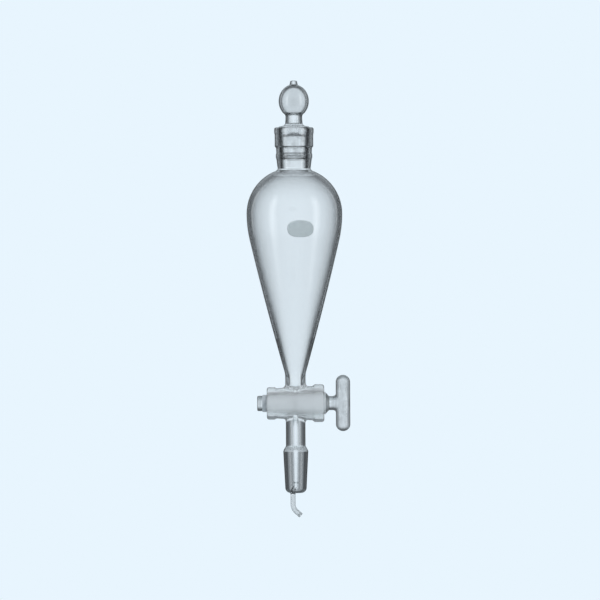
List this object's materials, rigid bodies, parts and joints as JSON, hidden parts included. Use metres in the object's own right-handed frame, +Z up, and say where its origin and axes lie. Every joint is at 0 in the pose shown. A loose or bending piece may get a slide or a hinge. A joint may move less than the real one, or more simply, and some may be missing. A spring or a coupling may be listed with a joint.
{
  "type": "separatory funnel",
  "caption": "Pear-shaped glass separatory funnel with ball-top ground stopper, glass stopcock with T handle, ground outlet cone and bent drip tip.",
  "frame": {"origin": "on the funnel's axis, in the plane of the ground outlet cone's wide end", "axes": "+Z up the funnel's axis, +X along the stopcock plug towards its handle"},
  "size_m": [0.0984, 0.0918, 0.4193],
  "materials": {
    "funnel_glass": "clear, fire-polished borosilicate glass",
    "stopper_glass": "clear, fire-polished borosilicate glass",
    "plug_glass": "borosilicate glass, finely ground where it seats in the barrel",
    "ring_rubber": "matte grey silicone rubber"
  },
  "bodies": {
    "funnel": {"bulb": "funnel_glass", "neck_socket": "funnel_glass", "stopcock_barrel": "funnel_glass", "lower_stem": "funnel_glass", "outlet_cone": "funnel_glass", "drip_tip": "funnel_glass"},
    "stopper": {"stopper_cone": "stopper_glass", "stopper_knob": "stopper_glass"},
    "plug": {"stopcock_plug": "plug_glass", "plug_handle": "plug_glass"},
    "ring": {"retaining_ring": "ring_rubber"}
  },
  "joints": [
    {"name": "plug_turn", "type": "hinge", "parent": "funnel", "child": "plug", "pos_m": [0, 0, 0.046], "axis": [1, 0, 0], "continuous": true},
    {"name": "ring_pull", "type": "slide", "parent": "plug", "child": "ring", "axis": [-1, 0, 0], "range_m": [0, 0.012]},
    {"name": "stopper_lift", "type": "slide", "parent": "funnel", "child": "stopper", "axis": [0, 0, 1], "range_m": [0, 0.06]}
  ]
}
